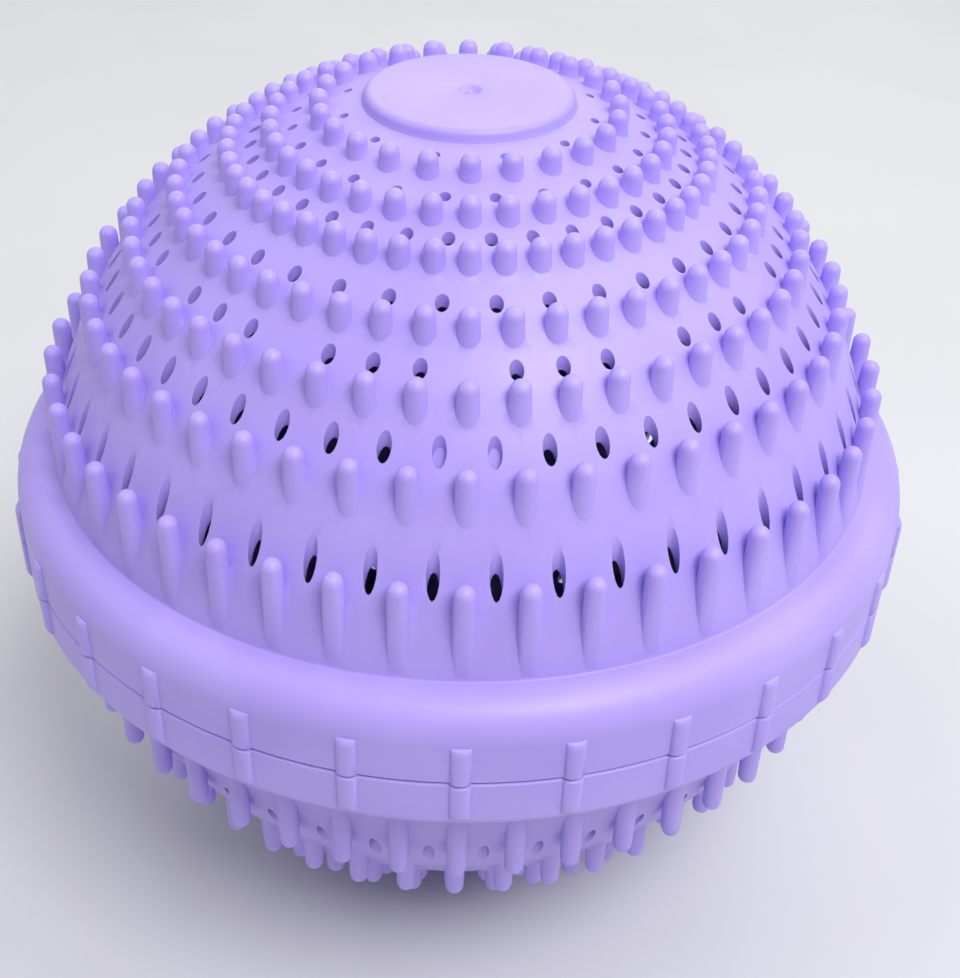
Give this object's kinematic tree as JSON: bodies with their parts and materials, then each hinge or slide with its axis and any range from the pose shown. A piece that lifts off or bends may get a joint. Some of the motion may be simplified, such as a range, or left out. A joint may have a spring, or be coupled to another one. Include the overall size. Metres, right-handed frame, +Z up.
{
  "type": "laundry ball",
  "caption": "Hollow studded laundry ball: two perforated half shells with ribbed collars that twist apart, over a slotted divider and loose ceramic beads.",
  "frame": {"origin": "centre of the flat disc that the ball rests on, at its underside", "axes": "+Z up along the ball's axis, through both discs; -Y faces the picture's camera, with a rib and a row of pegs on it; +X to the camera's right"},
  "size_m": [0.1126, 0.1132, 0.1038],
  "materials": {
    "shell_plastic": "soft satin moulded lavender plastic",
    "divider_plastic": "satin moulded lavender plastic",
    "red_clay_ceramic": "unglazed fired clay",
    "white_ceramic": "unglazed fired clay",
    "grey_ceramic": "unglazed fired clay",
    "tan_ceramic": "unglazed fired clay"
  },
  "bodies": {
    "lower_half": {"lower_shell": "shell_plastic", "red_clay_bead_1": "red_clay_ceramic", "red_clay_bead_2": "red_clay_ceramic", "red_clay_bead_3": "red_clay_ceramic", "red_clay_bead_4": "red_clay_ceramic", "red_clay_bead_5": "red_clay_ceramic", "red_clay_bead_6": "red_clay_ceramic", "white_bead_1": "white_ceramic", "white_bead_2": "white_ceramic", "white_bead_3": "white_ceramic", "white_bead_4": "white_ceramic", "white_bead_5": "white_ceramic", "white_bead_6": "white_ceramic", "grey_bead_1": "grey_ceramic", "grey_bead_2": "grey_ceramic", "grey_bead_3": "grey_ceramic", "grey_bead_4": "grey_ceramic", "grey_bead_5": "grey_ceramic", "grey_bead_6": "grey_ceramic", "tan_bead_1": "tan_ceramic", "tan_bead_2": "tan_ceramic", "tan_bead_3": "tan_ceramic", "tan_bead_4": "tan_ceramic", "tan_bead_5": "tan_ceramic", "tan_bead_6": "tan_ceramic"},
    "divider": {"bead_divider": "divider_plastic"},
    "upper_half": {"upper_shell": "shell_plastic"}
  },
  "joints": [
    {"name": "pull_apart", "type": "slide", "parent": "lower_half", "child": "divider", "axis": [0, 0, 1], "range_m": [0, 0.08]},
    {"name": "twist_lock", "type": "hinge", "parent": "divider", "child": "upper_half", "pos_m": [0, 0, 0.0519], "axis": [0, 0, 1], "range_deg": [-24, 0]}
  ]
}
